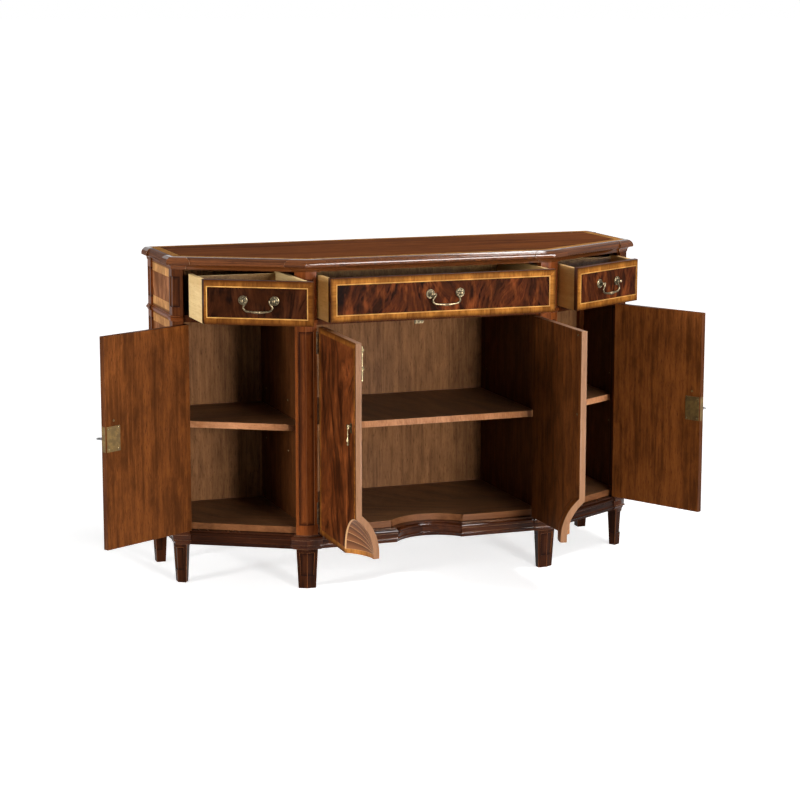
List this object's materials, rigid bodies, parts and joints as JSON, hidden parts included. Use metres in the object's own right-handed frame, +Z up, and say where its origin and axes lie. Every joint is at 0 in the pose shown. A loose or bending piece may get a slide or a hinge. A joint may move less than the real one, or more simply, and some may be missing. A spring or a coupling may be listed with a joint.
{
  "type": "side cabinet",
  "caption": "Wooden side cabinet with slanted ends, hinged doors over shelves, a row of sliding drawers with bail pulls, a moulded top and base, and tapered legs.",
  "frame": {"origin": "on the floor, at the middle of the width, in the plane of the back", "axes": "+X to the right seen from the front, +Y to the back, +Z up"},
  "size_m": [1.7409, 0.7876, 0.906],
  "materials": {
    "mahogany": "polished dark red-brown wood",
    "interior_wood": "satin brown wood",
    "drawer_wood": "plain pale wood",
    "brass": "aged satin brass",
    "steel": "worn steel"
  },
  "bodies": {
    "cabinet": {"top_board": "mahogany", "top_moulding_centre": "mahogany", "top_moulding_slanted": "mahogany", "top_moulding_returns": "mahogany", "top_corner_blocks": "mahogany", "back_panel": "interior_wood", "floor_panel": "interior_wood", "dividers": "interior_wood", "side_panels": "mahogany", "posts_back": "mahogany", "posts_corner": "mahogany", "posts_front": "mahogany", "legs_back": "mahogany", "legs_corner": "mahogany", "legs_front": "mahogany", "base_moulding_centre": "mahogany", "base_moulding_slanted": "mahogany", "base_moulding_returns": "mahogany", "base_corner_blocks": "mahogany", "waist_collars": "mahogany", "waist_returns": "mahogany", "dust_board_centre": "interior_wood", "dust_boards_side": "interior_wood", "shelf_centre": "interior_wood", "shelf_left": "interior_wood", "shelf_right": "interior_wood", "shelf_pegs": "brass", "drawer_guides": "drawer_wood", "hinge_leaves_posts": "brass", "strike_plate": "brass"},
    "drawer_left": {"drawer_left_front": "mahogany", "drawer_left_box": "drawer_wood", "drawer_left_bottom": "drawer_wood", "drawer_left_rosettes": "brass"},
    "bail_left": {"drawer_left_bail": "brass"},
    "drawer_centre": {"drawer_centre_front": "mahogany", "drawer_centre_box": "drawer_wood", "drawer_centre_bottom": "drawer_wood", "drawer_centre_rosettes": "brass"},
    "bail_centre": {"drawer_centre_bail": "brass"},
    "drawer_right": {"drawer_right_front": "mahogany", "drawer_right_box": "drawer_wood", "drawer_right_bottom": "drawer_wood", "drawer_right_rosettes": "brass"},
    "bail_right": {"drawer_right_bail": "brass"},
    "door_left": {"door_left": "mahogany", "door_left_hardware": "brass", "door_left_lock": "brass"},
    "key_left": {"door_left_key": "steel"},
    "door_right": {"door_right": "mahogany", "door_right_hardware": "brass", "door_right_lock": "brass"},
    "key_right": {"door_right_key": "steel"},
    "door_centre_left": {"door_centre_left": "mahogany", "door_centre_left_hardware": "brass"},
    "drop_centre_left": {"door_centre_left_drop": "brass"},
    "door_centre_right": {"door_centre_right": "mahogany", "door_centre_right_hardware": "brass"},
    "drop_centre_right": {"door_centre_right_drop": "brass"},
    "bolt": {"door_centre_left_bolt": "brass"}
  },
  "joints": [
    {"name": "drawer_left_slide", "type": "slide", "parent": "cabinet", "child": "drawer_left", "axis": [0, -1, 0], "range_m": [-0.189, 0.031]},
    {"name": "bail_left_swing", "type": "hinge", "parent": "drawer_left", "child": "bail_left", "pos_m": [-0.52159, -0.56492, 0.814], "axis": [-0.8616, 0.5075, 0], "range_deg": [-14, 85]},
    {"name": "drawer_centre_slide", "type": "slide", "parent": "cabinet", "child": "drawer_centre", "axis": [0, -1, 0], "range_m": [-0.113, 0.187]},
    {"name": "bail_centre_swing", "type": "hinge", "parent": "drawer_centre", "child": "bail_centre", "pos_m": [0, -0.584, 0.814], "axis": [-1, 0, 0], "range_deg": [-14, 85]},
    {"name": "drawer_right_slide", "type": "slide", "parent": "cabinet", "child": "drawer_right", "axis": [0, -1, 0], "range_m": [-0.132, 0.088]},
    {"name": "bail_right_swing", "type": "hinge", "parent": "drawer_right", "child": "bail_right", "pos_m": [0.52159, -0.50792, 0.814], "axis": [-0.8616, -0.5075, 0], "range_deg": [-14, 85]},
    {"name": "door_left_hinge", "type": "hinge", "parent": "cabinet", "child": "door_left", "pos_m": [-0.65023, -0.2904, 0.438], "axis": [0, 0, -1], "range_deg": [-120.5, 29.5]},
    {"name": "door_right_hinge", "type": "hinge", "parent": "cabinet", "child": "door_right", "pos_m": [0.65023, -0.2904, 0.438], "axis": [0, 0, 1], "range_deg": [-87, 63]},
    {"name": "door_centre_left_hinge", "type": "hinge", "parent": "cabinet", "child": "door_centre_left", "pos_m": [-0.326, -0.4626, 0.438], "axis": [0, 0, -1], "range_deg": [-91, 29]},
    {"name": "door_centre_right_hinge", "type": "hinge", "parent": "cabinet", "child": "door_centre_right", "pos_m": [0.326, -0.4626, 0.438], "axis": [0, 0, 1], "range_deg": [-90, 30]},
    {"name": "key_left_turn", "type": "hinge", "parent": "door_left", "child": "key_left", "pos_m": [-0.88672, -0.42561, 0.441], "axis": [-0.4848, 0.8746, 0], "range_deg": [0, 90]},
    {"name": "key_right_turn", "type": "hinge", "parent": "door_right", "child": "key_right", "pos_m": [0.77281, -0.53368, 0.441], "axis": [0.887, 0.4617, 0], "range_deg": [-90, 0]},
    {"name": "drop_centre_left_swing", "type": "hinge", "parent": "door_centre_left", "child": "drop_centre_left", "pos_m": [-0.33744, -0.75144, 0.504], "axis": [0.0175, 0.9998, 0], "range_deg": [-8, 70]},
    {"name": "drop_centre_right_swing", "type": "hinge", "parent": "door_centre_right", "child": "drop_centre_right", "pos_m": [0.3324, -0.7516, 0.504], "axis": [0, -1, 0], "range_deg": [-8, 70]},
    {"name": "bolt_slide", "type": "slide", "parent": "door_centre_left", "child": "bolt", "axis": [0, 0, 1], "range_m": [0, 0.018]}
  ]
}
